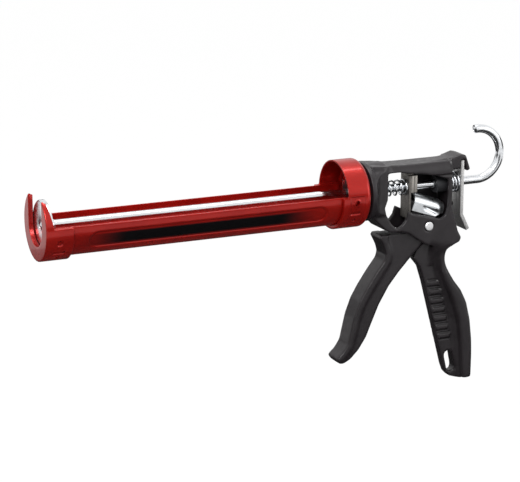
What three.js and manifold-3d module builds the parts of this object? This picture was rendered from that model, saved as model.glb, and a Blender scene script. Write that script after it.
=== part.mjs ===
// Half-cradle caulking gun with a swivelling cartridge holder and a hooked push rod.
// Millimetres, +Z up. The model is drawn with the rod axis along X: the holder points to -X and
// the handle hangs at +X. x = 0 is the rear face of the holder's collar. The finished group is
// moved so that the middle of its bounding box is the origin.

import * as THREE from "three";
import { mergeVertices } from "three/addons/utils/BufferGeometryUtils.js";
import Module from "manifold-3d";

const wasm = await Module();
wasm.setup();

// ---------------------------------------------------------------- driving dimensions

const FIT = 0.3; // running gap between pieces that touch or slide

// cartridge holder
const HOLDER_LENGTH = 295; // front plate face to the collar's rear face
const CRADLE_RADIUS = 26.5;
const CRADLE_WALL = 1.2;
const RIM_HEIGHT = 3; // the cradle's rims stand this far above the rod axis
const CRADLE_SEGMENTS = 44;

const PANEL_DEPTH = 0.6; // pressed panel along each side of the cradle
const PANEL_TOP_ANGLE = 6.5; // degrees below the horizontal
const PANEL_BOTTOM_ANGLE = 42;
const PANEL_FRONT_MARGIN = 38;
const PANEL_REAR_MARGIN = 40;

const CAP_WALL = 1.5;
const CAP_SKIRT_WALL = 2.6; // sheet folded double
const CAP_DEPTH = 24; // front plate face to the skirt's rear edge
const CAP_SLOT_HALF_WIDTH = 16.8; // open-topped slot for the nozzle
const CAP_HORN_HEIGHT = 26;
const CAP_HORN_DEPTH = 7;

const COLLAR_RADIUS = 30.2;
const COLLAR_WALL = 1.6;
const COLLAR_DEPTH = 22.5;
const COLLAR_LUG = 4.5; // the lower half reaches this much further forward
const COLLAR_CORNER = 4; // rounding of the rear edge
const COLLAR_HOLE_RADIUS = 2.4; // one round hole in each flank
const COLLAR_HOLE_INSET = 14;
const COLLAR_HOLE_ANGLE = 5; // degrees below the horizontal
const CORNER_STEPS = 6;

// swivel between holder and body
const SPIGOT_RADIUS = 11;
const SPIGOT_LENGTH = 9; // in front of the collar's rear face
const SWIVEL_GAP = 3; // collar to body flange
const SWIVEL_WASHER_RADIUS = 20;
const BULKHEAD_RADIUS = 21;
const BULKHEAD_THICKNESS = 2.4;
const RING_RADIUS = 13.6;
const RING_THICKNESS = 1.6;
const RING_GROOVE_DEPTH = 1;
const RING_MOUTH_HALF = 3; // gap that lets the ring spring over the spigot

// push rod and plunger
const ROD_RADIUS = 3.8;
const HOOK_RADIUS = 23.2; // to the middle of the rod
const HOOK_START = 121;
const HOOK_SWEEP = 188; // degrees
const HOOK_STEPS = 25;
const PLUNGER_CLEARANCE = 3.8; // disc's edge to the inside of the cradle
const PLUNGER_THICKNESS = 4.6;
const PLUNGER_WALL = 1.5; // web and rim of the cupped disc
const PLUNGER_FRONT_GAP = 3; // behind the front plate's face
const NUT_RADIUS = 5.4;
const NUT_LENGTH = 6.5;
const NUT_SEAT_RADIUS = 6.4; // thick middle of the disc, in front of the nut

// cast body
const BODY_HALF_WIDTH = 14.5;
const CHEEK_THICKNESS = 3.5;
const FLANGE_RADIUS = 26.2;
const FLANGE_THICKNESS = 4.5;
const NECK_STEP = 0.8; // the neck starts this far inside the flange's edge
const NECK_REAR = 24; // front wall of the drive window
const WALL_FRONT = 88; // rear wall between the cheeks
const WALL_REAR = 90.6;
const CHEEK_REAR = 88.4;
const HOOD_HALF = 10.4;
const BEAM_TOP = 22.4;
const WINDOW_TOP = 16.5;
const FAR_WINDOW_REAR = 57; // the window through the far cheek ends here
const HANDLE_WEB_HALF = 4.6;
const PALM_HALF = 13;
const RIB_HEIGHT = 0.6;
const RIB_COUNT = 7;
const RIB_SPACING = 8.5;
const RIB_LENGTH = 12;
const RIB_THICKNESS = 4;
const TOP_RIB_X = 76.4;
const TOP_RIB_Z = -91;
const HANG_SLOT_X = 95;
const HANG_SLOT_Z = -167;
const HANG_SLOT_RADIUS = 4;
const HANG_SLOT_HALF_SPAN = 6;
const GRIP_TILT = 13; // degrees the grip leans from the vertical
const GUIDE_RADIUS = 8;
const GUIDE_TAIL_RADIUS = 6.5;
const GUIDE_FRONT = 77;
const STUD_RADIUS = 2.6; // stop for the release lever
const STUD_TIP = 96.6;
const STUD_Z = -19.5;

// trigger and pusher
const PIVOT_X = 65.5;
const PIVOT_Z = -35;
const PIN_RADIUS = 4.1;
const PIN_PROUD = 0.6; // the pin's ends stand out of the cheeks
const HUB_HALF = 10.2;
const HUB_RADIUS = 11;
const TRIGGER_HALF = 8.8;
const TRIGGER_PAD_HALF = 10.4;
const PUSHER_HALF = 9;
const PUSHER_WALL = 1.8;
const PUSHER_TILT = 19; // degrees, down to the rear
const PUSHER_LENGTH = 32.5;
const PUSHER_HEIGHT = 16; // below the crown's springing line
const PUSHER_Z = -5;
const PUSHER_SCOOP = 6; // lower rear corners cut away
const PUSHER_PIN_RADIUS = 2;
const PUSHER_PIN_X = 19; // along the pusher
const PUSHER_PIN_Z = -12.2;

// grip plates, springs and release lever
const PLATE_HALF_WIDTH = 7.8;
const FRONT_PLATE_THICKNESS = 2;
const PLATE_THICKNESS = 2.8;
const PLATE_FRONT = 48;
const PLATE_TOP = 11;
const FRONT_PLATE_BOTTOM = -28;
const REAR_PLATE_BOTTOM = -4.2;
const TAB_HALF_WIDTH = 5; // folded tab on top of the front plate
const TAB_LENGTH = 3;
const TAB_THICKNESS = 1.4;
const SPRING_RADIUS = 6.4; // to the middle of the wire
const SPRING_WIRE = 0.85;
const SPRING_TURNS = 4;
const SEAT_THICKNESS = 1.2;
const SEAT_RADIUS = 8;
const BRAKE_SPRING_RADIUS = 8.6;
const BRAKE_WIRE = 0.9;
const BRAKE_TURNS = 2.2;
const LEVER_FRONT = 99.6;
const LEVER_THICKNESS = 3.4;
const LEVER_HALF_WIDTH = 9;
const LEVER_TOP = 21;
const LEVER_BEND = -29;
const LEVER_TAIL_X = 8;
const LEVER_TAIL_Z = 15;

const BEYOND = 80; // half-length of a cut that runs right through the gun
const ROUND = 40; // sides of a large round piece
const SMALL_ROUND = 24; // sides of a small round piece

// ---------------------------------------------------------------- materials

const finish = (color, roughness, metalness) =>
  new THREE.MeshStandardMaterial({ color, roughness, metalness });
const red = finish(0xb01c24, 0.3, 0.5);
const black = finish(0x2b2a2c, 0.55, 0.3);
const zinc = finish(0xd6d9dc, 0.3, 0.9);
const steel = finish(0x8c8883, 0.5, 0.8);
const nylon = finish(0x18181a, 0.7, 0);

// ---------------------------------------------------------------- solid helpers

const degrees = (angle) => (angle * Math.PI) / 180;

// A closed three.js geometry as a manifold solid.
function solid(geometry) {
  geometry.deleteAttribute("normal");
  geometry.deleteAttribute("uv");
  const merged = mergeVertices(geometry, 1e-5);
  return new wasm.Manifold(
    new wasm.Mesh({
      numProp: 3,
      vertProperties: new Float32Array(merged.attributes.position.array),
      triVerts: new Uint32Array(merged.index.array),
    }),
  );
}

function join(...pieces) {
  return pieces.reduce((sum, piece) => sum.add(piece));
}

// A manifold solid as a named mesh.
function piece(name, material, body) {
  const mesh = body.getMesh();
  const geometry = new THREE.BufferGeometry();
  geometry.setAttribute("position", new THREE.BufferAttribute(mesh.vertProperties, 3));
  geometry.setIndex(new THREE.BufferAttribute(mesh.triVerts, 1));
  geometry.computeVertexNormals();
  const node = new THREE.Mesh(geometry, material);
  node.name = name;
  return node;
}

// An outline in the XZ plane, extruded from y = low to y = high.
function slab(outline, low, high) {
  const shape = outline instanceof THREE.Shape ? outline : polygon(outline);
  const geometry = new THREE.ExtrudeGeometry(shape, {
    depth: high - low,
    bevelEnabled: false,
    curveSegments: 8,
  });
  geometry.rotateX(Math.PI / 2);
  geometry.translate(0, high, 0);
  return solid(geometry);
}

function polygon(points) {
  return new THREE.Shape(points.map(([x, z]) => new THREE.Vector2(x, z)));
}

function box(lowX, highX, lowY, highY, lowZ, highZ) {
  const geometry = new THREE.BoxGeometry(highX - lowX, highY - lowY, highZ - lowZ);
  geometry.translate((lowX + highX) / 2, (lowY + highY) / 2, (lowZ + highZ) / 2);
  return solid(geometry);
}

// A cylinder along X.
function along(radius, lowX, highX, sides = ROUND) {
  const geometry = new THREE.CylinderGeometry(radius, radius, highX - lowX, sides);
  geometry.rotateZ(-Math.PI / 2);
  geometry.translate((lowX + highX) / 2, 0, 0);
  return solid(geometry);
}

// A cylinder along Y.
function across(radius, x, z, low, high, sides = SMALL_ROUND) {
  const geometry = new THREE.CylinderGeometry(radius, radius, high - low, sides);
  geometry.translate(x, (low + high) / 2, z);
  return solid(geometry);
}

// A closed profile of [x, radius] pairs turned about the rod axis.
function turned(profile, sides = ROUND) {
  const points = profile.map(([x, radius]) => new THREE.Vector2(radius, x));
  const geometry = new THREE.LatheGeometry([...points, points[0].clone()], sides);
  geometry.rotateZ(-Math.PI / 2);
  return solid(geometry);
}

// A flat ring about the rod axis.
function washer(inner, outer, lowX, highX, sides = ROUND) {
  return along(outer, lowX, highX, sides).subtract(along(inner, lowX - 1, highX + 1, sides));
}

// A round wire coiled about the rod axis, with its ends at lowX and highX.
function coil(radius, wire, lowX, highX, turns) {
  class Helix extends THREE.Curve {
    getPoint(t, target = new THREE.Vector3()) {
      const angle = t * turns * 2 * Math.PI;
      const x = lowX + wire + t * (highX - lowX - 2 * wire);
      return target.set(x, radius * Math.cos(angle), radius * Math.sin(angle));
    }
  }
  return sweep(new Helix(), wire, Math.ceil(turns * 16), 8);
}

// A round section swept along a curve.
function sweep(path, radius, steps, sides) {
  const section = new THREE.Shape();
  section.absarc(0, 0, radius, 0, 2 * Math.PI);
  const outline = new THREE.Shape(section.getSpacedPoints(sides).slice(0, -1));
  const geometry = new THREE.ExtrudeGeometry(outline, { extrudePath: path, steps });
  return solid(geometry);
}

// A YZ outline extruded from x = lowX to x = highX.
function beam(shape, lowX, highX, curveSegments = 8) {
  const geometry = new THREE.ExtrudeGeometry(shape, {
    depth: highX - lowX,
    bevelEnabled: false,
    curveSegments,
  });
  const yzToX = new THREE.Matrix4();
  yzToX.set(0, 0, 1, lowX, 1, 0, 0, 0, 0, 1, 0, 0, 0, 0, 0, 1);
  geometry.applyMatrix4(yzToX);
  return solid(geometry);
}

// A half tube about the rod axis, open at the top above z = rim.
function trough(inner, outer, rim, lowX, highX) {
  const outerAngle = Math.asin(rim / outer);
  const innerAngle = Math.asin(rim / inner);
  const shape = new THREE.Shape();
  shape.absarc(0, 0, outer, outerAngle, -Math.PI - outerAngle, true);
  shape.absarc(0, 0, inner, -Math.PI - innerAngle, innerAngle, false);
  return beam(shape, lowX, highX, CRADLE_SEGMENTS / 2);
}

// A U outline, open at the top, with straight sides up to z = top.
function slotShape(halfWidth, top) {
  const shape = new THREE.Shape();
  shape.moveTo(halfWidth, top);
  shape.lineTo(-halfWidth, top);
  shape.absarc(0, 0, halfWidth, Math.PI, 2 * Math.PI, false);
  return shape;
}

// A stadium in the XZ plane, tilted from the vertical.
function stadium(x, z, radius, halfSpan, tilt) {
  const up = new THREE.Vector2(-Math.sin(tilt), Math.cos(tilt));
  const angle = Math.atan2(up.y, up.x);
  const upper = up.clone().multiplyScalar(halfSpan);
  const quarter = Math.PI / 2;
  const shape = new THREE.Shape();
  shape.absarc(x + upper.x, z + upper.y, radius, angle - quarter, angle + quarter);
  shape.absarc(x - upper.x, z - upper.y, radius, angle + quarter, angle + 3 * quarter);
  return shape;
}

// ---------------------------------------------------------------- cartridge holder

const frontFace = -HOLDER_LENGTH;
const capSkirtInner = CRADLE_RADIUS + FIT;
const capSkirtOuter = capSkirtInner + CAP_SKIRT_WALL;
const cradleFront = frontFace + CAP_WALL + FIT;
const cradleRear = -COLLAR_CORNER - FIT;
const collarInner = COLLAR_RADIUS - COLLAR_WALL;
const lugFront = -COLLAR_DEPTH - COLLAR_LUG;
const flankHoleX = -COLLAR_HOLE_INSET;
const flankHoleZ = -COLLAR_RADIUS * Math.sin(degrees(COLLAR_HOLE_ANGLE));
const flankHole = across(COLLAR_HOLE_RADIUS, flankHoleX, flankHoleZ, -BEYOND, BEYOND);

function cradle() {
  const inner = CRADLE_RADIUS - CRADLE_WALL;
  const tube = trough(inner, CRADLE_RADIUS, RIM_HEIGHT, cradleFront, cradleRear);
  const panelTop = -CRADLE_RADIUS * Math.sin(degrees(PANEL_TOP_ANGLE));
  const panelBottom = -CRADLE_RADIUS * Math.sin(degrees(PANEL_BOTTOM_ANGLE));
  const radius = (panelTop - panelBottom) / 2;
  const panelFront = frontFace + PANEL_FRONT_MARGIN + radius;
  const panelRear = -PANEL_REAR_MARGIN - radius;
  const middle = (panelFront + panelRear) / 2;
  const halfSpan = (panelRear - panelFront) / 2;
  const outline = stadium(middle, (panelTop + panelBottom) / 2, radius, halfSpan, Math.PI / 2);
  const reach = slab(outline, -BEYOND, BEYOND);
  const skin = trough(CRADLE_RADIUS - PANEL_DEPTH, CRADLE_RADIUS + 1, 0, cradleFront, cradleRear);
  return tube.subtract(reach.intersect(skin)).subtract(flankHole);
}

function frontCap() {
  const plate = along(capSkirtOuter, frontFace, frontFace + CAP_WALL);
  const skirt = trough(capSkirtInner, capSkirtOuter, RIM_HEIGHT, frontFace, frontFace + CAP_DEPTH);
  const hornOutline = polygon([
    [frontFace, 0],
    [frontFace + CAP_HORN_DEPTH, 0],
    [frontFace + CAP_HORN_DEPTH, RIM_HEIGHT + CAP_WALL],
    [frontFace + CAP_HORN_DEPTH * 0.6, CAP_HORN_HEIGHT * 0.8],
    [frontFace + CAP_WALL, CAP_HORN_HEIGHT],
    [frontFace, CAP_HORN_HEIGHT],
  ]);
  const wall = washer(capSkirtInner, capSkirtOuter, frontFace, frontFace + CAP_DEPTH);
  const horns = wall.intersect(slab(hornOutline, -BEYOND, BEYOND));
  const lipRear = plungerFront - FIT;
  const lip = beam(slotShape(CAP_SLOT_HALF_WIDTH + CAP_WALL, BEYOND), frontFace, lipRear);
  const lips = lip.intersect(along(capSkirtOuter, frontFace, lipRear));
  const opening = beam(slotShape(CAP_SLOT_HALF_WIDTH, BEYOND), frontFace - 1, lipRear + 1);
  const above = box(frontFace - 1, 0, -BEYOND, BEYOND, CAP_HORN_HEIGHT, BEYOND);
  return join(plate, skirt, horns, lips).subtract(opening).subtract(above);
}

function rearCollar() {
  const corner = [];
  for (let step = 0; step <= CORNER_STEPS; step += 1) {
    const angle = (step / CORNER_STEPS) * (Math.PI / 2);
    const x = -COLLAR_CORNER + COLLAR_CORNER * Math.sin(angle);
    corner.push([x, COLLAR_RADIUS - COLLAR_CORNER + COLLAR_CORNER * Math.cos(angle)]);
  }
  const insideCorner = COLLAR_CORNER - COLLAR_WALL;
  const cup = turned([
    [-COLLAR_DEPTH, collarInner],
    [-COLLAR_DEPTH, COLLAR_RADIUS],
    ...corner,
    [0, SPIGOT_RADIUS + FIT],
    [-COLLAR_WALL, SPIGOT_RADIUS + FIT],
    [-COLLAR_WALL, collarInner - insideCorner],
    [-COLLAR_WALL - insideCorner, collarInner],
  ]);
  const hug = trough(CRADLE_RADIUS + FIT, COLLAR_RADIUS, RIM_HEIGHT, lugFront, -COLLAR_CORNER);
  return join(cup, hug).subtract(flankHole);
}

// ---------------------------------------------------------------- push rod and plunger

const plungerRadius = CRADLE_RADIUS - CRADLE_WALL - PLUNGER_CLEARANCE;
const plungerFront = frontFace + CAP_WALL + PLUNGER_FRONT_GAP;
const nutFront = plungerFront + PLUNGER_THICKNESS + FIT;

function plungerDisc() {
  const rear = plungerFront + PLUNGER_THICKNESS;
  return turned([
    [plungerFront, ROD_RADIUS + FIT],
    [plungerFront, plungerRadius - 1],
    [plungerFront + 1, plungerRadius],
    [rear, plungerRadius],
    [rear, plungerRadius - PLUNGER_WALL],
    [plungerFront + PLUNGER_WALL, plungerRadius - PLUNGER_WALL],
    [plungerFront + PLUNGER_WALL, NUT_SEAT_RADIUS],
    [rear, NUT_SEAT_RADIUS],
    [rear, ROD_RADIUS + FIT],
  ]);
}

function plungerNut() {
  return washer(ROD_RADIUS + FIT, NUT_RADIUS, nutFront, nutFront + NUT_LENGTH, SMALL_ROUND);
}

// The rod's middle line: one long straight step, then even steps round the hook.
class RodPath extends THREE.Curve {
  getPointAt(share, target = new THREE.Vector3()) {
    if (share < 0.5 / HOOK_STEPS) {
      return target.set(plungerFront, 0, 0);
    }
    const angle = this.hookAngle(share);
    const x = HOOK_START + HOOK_RADIUS * Math.cos(angle);
    return target.set(x, 0, HOOK_RADIUS + HOOK_RADIUS * Math.sin(angle));
  }
  getTangentAt(share, target = new THREE.Vector3()) {
    const angle = share < 0.5 / HOOK_STEPS ? -Math.PI / 2 : this.hookAngle(share);
    return target.set(-Math.sin(angle), 0, Math.cos(angle));
  }
  hookAngle(share) {
    const bent = (share * HOOK_STEPS - 1) / (HOOK_STEPS - 1);
    return -Math.PI / 2 + bent * degrees(HOOK_SWEEP);
  }
}

function pushRod() {
  return sweep(new RodPath(), ROD_RADIUS, HOOK_STEPS, SMALL_ROUND);
}

// ---------------------------------------------------------------- cast body

const flangeFront = SWIVEL_GAP;
const flangeRear = flangeFront + FLANGE_THICKNESS;
const slotHalf = BODY_HALF_WIDTH - CHEEK_THICKNESS;

const leverNotchFront = LEVER_FRONT - FIT;
const leverNotchRear = LEVER_FRONT + LEVER_THICKNESS + FIT;

const bodyOutline = [
  [flangeRear, 24.6],
  [NECK_REAR, BEAM_TOP + 0.8],
  [42, BEAM_TOP],
  [CHEEK_REAR, BEAM_TOP],
  [CHEEK_REAR, -20],
  [95.4, -42.5],
  [98.8, -48.6],
  [97, -52.4],
  [90.6, -55],
  [86.6, -58.4],
  [78, -56],
  [70, -54.5],
  [61, -50.5],
  [45, -39.5],
  [38, -37],
  [27, -36.8],
  [21.5, -34],
  [12, -24.5],
  [flangeRear, -20],
];

// The narrower hood that carries the top of the release lever behind the cheeks.
const hoodOutline = [
  [62, BEAM_TOP],
  [80, BEAM_TOP + 0.6],
  [91, 24.4],
  [98.6, 26.8],
  [104, 25.5],
  [108.8, 12.2],
  [105.2, 10.8],
  [leverNotchRear, 18.2],
  [leverNotchRear, LEVER_TOP + FIT],
  [leverNotchFront, LEVER_TOP + FIT],
  [leverNotchFront - 0.8, 13.4],
  [62, 13.4],
];

const windowOutline = [
  [NECK_REAR, WINDOW_TOP],
  [NECK_REAR, -7],
  [20.8, -14],
  [22.5, -20],
  [28, -29],
  [33.5, -34],
  [38.5, -31.5],
  [42.5, -27],
  [44.8, -19.5],
  [50, -22.2],
  [77, -29],
  [82, -26.4],
  [84.4, -19.5],
  [84.4, 6],
  [72, 10.6],
  [56, 13.6],
  [45, 14.6],
  [36, WINDOW_TOP],
];

// The space between the cheeks, open below for the trigger.
const slotOutline = [
  [NECK_REAR, WINDOW_TOP],
  [NECK_REAR, -7],
  [20.8, -14],
  [22.5, -20],
  [28, -29],
  [33.5, -34],
  [33.5, -80],
  [66, -80],
  [69.5, -68],
  [71.4, -57],
  [76.5, -46],
  [81.5, -34],
  [WALL_FRONT, -22],
  [WALL_FRONT, GUIDE_RADIUS + 1],
  [72, 10.6],
  [56, 13.6],
  [45, 14.6],
  [36, WINDOW_TOP],
];

// Rear edge of the grip from the heel down, and the palm swell's front boundary beside it.
const palmRear = [
  [92, -53.5],
  [86, -60.5],
  [85, -69],
  [88.8, -79.5],
  [95.2, -89.5],
  [102.8, -99],
  [108.8, -111],
  [112.9, -128],
  [115.1, -147],
  [115.6, -163],
  [115, -183],
];
const palmFront = [
  [86.5, -49],
  [80, -58],
  [78.6, -67],
  [80, -77],
  [84, -88.5],
  [89.6, -100],
  [94.4, -112],
  [98.8, -126],
  [101.8, -147],
  [103.4, -164],
  [104.6, -183],
];

const webOutline = [
  [55.4, -65.8],
  [58.5, -58.5],
  [65, -52.2],
  [74, -50],
  [84, -54],
  [82, -70],
  [86, -80],
  [100, -102],
  [107, -128],
  [110, -150],
  [110, -184.8],
  [108, -185.4],
  [103, -184],
  [95.6, -181.8],
  [91.4, -177.4],
  [88.8, -170.6],
  [78.6, -132],
  [67.2, -89],
  [62.4, -74.4],
];

// A strip of the grip between two fractions of the way from its rear edge to its front boundary.
function palmStrip(from, to) {
  const edge = (fraction) =>
    palmRear.map(([x, z], index) => {
      const [frontX, frontZ] = palmFront[index];
      return [x + (frontX - x) * fraction, z + (frontZ - z) * fraction];
    });
  return [...edge(from), ...edge(to).reverse()];
}

function gripRibs() {
  const half = HANDLE_WEB_HALF + RIB_HEIGHT;
  const ribs = [];
  for (let index = 0; index < RIB_COUNT; index += 1) {
    const x = TOP_RIB_X + index * RIB_SPACING * Math.tan(degrees(GRIP_TILT));
    const z = TOP_RIB_Z - index * RIB_SPACING;
    const high = z + RIB_THICKNESS / 2;
    ribs.push(box(x - RIB_LENGTH / 2, x + RIB_LENGTH / 2, -half, half, high - RIB_THICKNESS, high));
  }
  return ribs;
}

// Steps down from the cheeks' width to the web's, behind the space the trigger swings through.
function shoulder() {
  const steps = [
    [12.4, -59],
    [10, -63],
    [7.8, -67.5],
    [6, -73],
  ];
  const layers = steps.map(([half, low]) =>
    slab(
      [
        [70.5, -50],
        [70.5, low],
        [83, low],
        [84, -50],
      ],
      -half,
      half,
    ),
  );
  return join(...layers);
}

// The palm swell is built from strips, each with its own half width.
function handleBody() {
  const layers = [
    [0, 1, 8.6],
    [0.06, 1, 10.8],
    [0.16, 0.96, 12.3],
    [0.3, 0.86, PALM_HALF],
    [0.9, 1.2, 7.6],
    [0.9, 1.4, 6],
  ];
  const palm = layers.map(([from, to, half]) => slab(palmStrip(from, to), -half, half));
  const web = slab(webOutline, -HANDLE_WEB_HALF, HANDLE_WEB_HALF);
  return join(web, shoulder(), ...palm, ...gripRibs());
}

// The neck that narrows from the flange to the cheeks, cut from a plan view.
function neck() {
  const wide = FLANGE_RADIUS - NECK_STEP;
  const plan = new THREE.Shape();
  plan.moveTo(flangeFront + 1, -wide);
  plan.lineTo(flangeRear, -wide);
  plan.quadraticCurveTo(flangeRear + 4, -BODY_HALF_WIDTH - 2, NECK_REAR, -BODY_HALF_WIDTH);
  plan.lineTo(NECK_REAR, BODY_HALF_WIDTH);
  plan.quadraticCurveTo(flangeRear + 4, BODY_HALF_WIDTH + 2, flangeRear, wide);
  plan.lineTo(flangeFront + 1, wide);
  const geometry = new THREE.ExtrudeGeometry(plan, { depth: 2 * BEYOND, bevelEnabled: false });
  geometry.translate(0, 0, -BEYOND);
  return solid(geometry).intersect(along(wide, flangeFront, NECK_REAR));
}

function bodyBlank() {
  const plate = slab(bodyOutline, -BODY_HALF_WIDTH, BODY_HALF_WIDTH);
  const hood = slab(hoodOutline, -HOOD_HALF, HOOD_HALF);
  const wallTop = GUIDE_RADIUS + 6;
  const rearWall = box(WALL_FRONT - 1, WALL_REAR, -slotHalf, slotHalf, STUD_Z - 2, wallTop);
  const flange = along(FLANGE_RADIUS, flangeFront, flangeRear);
  const spigot = along(SPIGOT_RADIUS, -SPIGOT_LENGTH, flangeFront + 1);
  const stud = along(STUD_RADIUS, WALL_REAR - 1, STUD_TIP, SMALL_ROUND).translate([0, 0, STUD_Z]);
  return join(plate, hood, rearWall, flange, neck(), spigot, handleBody(), stud);
}

// The spigot's groove, the drive window, the slot between the cheeks and every bore.
function bodyCuts() {
  const grooveBottom = SPIGOT_RADIUS - RING_GROOVE_DEPTH;
  // the slot leaves the grip's web standing, for the trigger's channel to close over
  const web = slab(webOutline, -HANDLE_WEB_HALF, HANDLE_WEB_HALF);
  // the far cheek is closed beside the pusher and the rod's guide
  const farCheek = box(FAR_WINDOW_REAR, WALL_REAR, slotHalf, BODY_HALF_WIDTH, -BEYOND, BEAM_TOP);
  const hangSlot = stadium(
    HANG_SLOT_X,
    HANG_SLOT_Z,
    HANG_SLOT_RADIUS,
    HANG_SLOT_HALF_SPAN,
    degrees(GRIP_TILT),
  );
  return [
    washer(grooveBottom, SPIGOT_RADIUS + 1, ringFront - FIT, ringRear + FIT),
    slab(windowOutline, -BEYOND, BEYOND).subtract(farCheek),
    slab(slotOutline, -slotHalf, slotHalf).subtract(web),
    along(ROD_RADIUS + FIT, -SPIGOT_LENGTH - 1, NECK_REAR + 1, SMALL_ROUND),
    along(GUIDE_TAIL_RADIUS + FIT, WALL_FRONT - 1, WALL_REAR + 1, SMALL_ROUND),
    across(PIN_RADIUS + FIT, PIVOT_X, PIVOT_Z, -BEYOND, BEYOND),
    slab(hangSlot, -BEYOND, BEYOND),
  ];
}

function bodyCasting() {
  return bodyCuts().reduce((rest, cut) => rest.subtract(cut), bodyBlank());
}

// ---------------------------------------------------------------- swivel

const ringRear = -COLLAR_WALL - FIT - BULKHEAD_THICKNESS - FIT;
const ringFront = ringRear - RING_THICKNESS;

function bulkheadPlate() {
  const rear = -COLLAR_WALL - FIT;
  return washer(SPIGOT_RADIUS + FIT, BULKHEAD_RADIUS, rear - BULKHEAD_THICKNESS, rear);
}

function retainingRing() {
  const ring = washer(SPIGOT_RADIUS - RING_GROOVE_DEPTH + FIT, RING_RADIUS, ringFront, ringRear);
  const mouth = box(ringFront - 1, ringRear + 1, -RING_MOUTH_HALF, RING_MOUTH_HALF, 0, BEYOND);
  return ring.subtract(mouth);
}

function swivelWasher() {
  return washer(SPIGOT_RADIUS + FIT, SWIVEL_WASHER_RADIUS, FIT, flangeFront - FIT);
}

// ---------------------------------------------------------------- trigger and pusher

// Front edge of the trigger from the top down, and the inner side of its finger pad.
const padFront = [
  [20.4, -40],
  [18.8, -42.5],
  [23.4, -52],
  [25, -57.8],
  [23.6, -63.4],
  [15, -74.4],
  [6.2, -87],
  [-0.6, -98.4],
  [-6, -112.4],
  [-9.4, -127],
  [-11.4, -136],
  [-16, -142.8],
  [-22.6, -149],
];
const padRear = [
  [27.4, -40],
  [26.8, -44],
  [29.8, -52],
  [31, -57.8],
  [29.8, -65.4],
  [21.2, -77.6],
  [12.2, -90.4],
  [5.4, -101.4],
  [0, -114.4],
  [-3.4, -128],
  [-6.2, -139],
  [-12.2, -147.6],
  [-19.6, -153.4],
];

// Blade of the trigger: its rear edge from the crotch down to the tip, then back up the pad.
const triggerOutline = [
  [20.4, -40],
  [34, -40],
  [44, -39.6],
  [50, -36],
  [54, -29],
  [58, -26],
  [74, -30],
  [76.6, -37],
  [74, -43.6],
  [64.6, -50],
  [48.2, -66.4],
  [39.6, -75.4],
  [29.6, -87.4],
  [20, -103.4],
  [12, -121.5],
  [7.6, -132],
  [-0.2, -143.6],
  [-8, -151],
  [-14, -154.2],
  [-18, -154.6],
  ...[...padFront].reverse().slice(0, -1),
];

// The trigger is a channel that swallows the handle's web as it closes.
const channelHalf = HANDLE_WEB_HALF + 2 * FIT;
const channelOutline = [
  [66, -50.5],
  [48, -50.5],
  [36, -48],
  [35, -60],
  [33, -68],
  [13, -100],
  [4, -128],
  [-4, -146],
  [40, -150],
  [80, -60],
];

function ribbon(front, rear, half) {
  return slab([...front, ...[...rear].reverse()].reverse(), -half, half);
}

// The pusher's lower front edge stands just behind the front grip plate.
const pusherLean = PUSHER_HEIGHT * Math.sin(degrees(PUSHER_TILT));
const pusherX = PLATE_FRONT + FRONT_PLATE_THICKNESS + 2 * FIT + pusherLean;

// A shape drawn along the pusher's own length, tilted down to the rear.
function tilted(body) {
  return body.rotate([0, PUSHER_TILT, 0]).translate([pusherX, 0, PUSHER_Z]);
}

function archShape(half, crown) {
  const shape = new THREE.Shape();
  shape.moveTo(-half, -PUSHER_HEIGHT);
  shape.lineTo(half, -PUSHER_HEIGHT);
  shape.absarc(0, crown - half, half, 0, Math.PI, false);
  return shape;
}

const saddleHalf = PUSHER_HALF - PUSHER_WALL; // inside of the folded saddle

function pusher() {
  const end = PUSHER_LENGTH + 1;
  const floor = -PUSHER_HEIGHT;
  const outer = beam(archShape(PUSHER_HALF, 0), 0, PUSHER_LENGTH);
  const cuts = [
    beam(archShape(saddleHalf, -PUSHER_WALL), PUSHER_WALL, end),
    box(PUSHER_WALL, end, -saddleHalf, saddleHalf, floor - 1, floor + 1),
    across(PUSHER_PIN_RADIUS + FIT, PUSHER_PIN_X, PUSHER_PIN_Z, -BEYOND, BEYOND),
    box(PUSHER_LENGTH - PUSHER_SCOOP, end, -BEYOND, BEYOND, floor - 1, floor + 4),
  ];
  return tilted(cuts.reduce((rest, cut) => rest.subtract(cut), outer));
}

function pusherPin() {
  return tilted(across(PUSHER_PIN_RADIUS, PUSHER_PIN_X, PUSHER_PIN_Z, -PUSHER_HALF, PUSHER_HALF));
}

function trigger() {
  const armHalf = saddleHalf - FIT;
  const armLow = -PUSHER_HEIGHT - 6;
  const armTop = PUSHER_PIN_Z + 2 * PUSHER_PIN_RADIUS + FIT;
  const arm = tilted(box(PUSHER_WALL + FIT, PUSHER_LENGTH - 5, -armHalf, armHalf, armLow, armTop));
  const saddleLow = -PUSHER_HEIGHT - FIT;
  const saddle = tilted(box(-4, PUSHER_LENGTH + 4, -BEYOND, BEYOND, saddleLow, PUSHER_HEIGHT));
  const blade = slab([...triggerOutline].reverse(), -TRIGGER_HALF, TRIGGER_HALF);
  const pad = ribbon(padFront, padRear, TRIGGER_PAD_HALF);
  const hub = across(HUB_RADIUS, PIVOT_X, PIVOT_Z, -HUB_HALF, HUB_HALF);
  const hollow = slab([...channelOutline].reverse(), -channelHalf, channelHalf);
  const pivotHole = across(PIN_RADIUS + FIT, PIVOT_X, PIVOT_Z, -BEYOND, BEYOND);
  const armHole = tilted(across(PUSHER_PIN_RADIUS + FIT, PUSHER_PIN_X, PUSHER_PIN_Z, -BEYOND, BEYOND));
  const whole = join(join(blade, pad, hub).subtract(saddle), arm);
  return whole.subtract(hollow).subtract(pivotHole).subtract(armHole);
}

function triggerPin() {
  const half = BODY_HALF_WIDTH + PIN_PROUD;
  return across(PIN_RADIUS, PIVOT_X, PIVOT_Z, -half, half);
}

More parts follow.
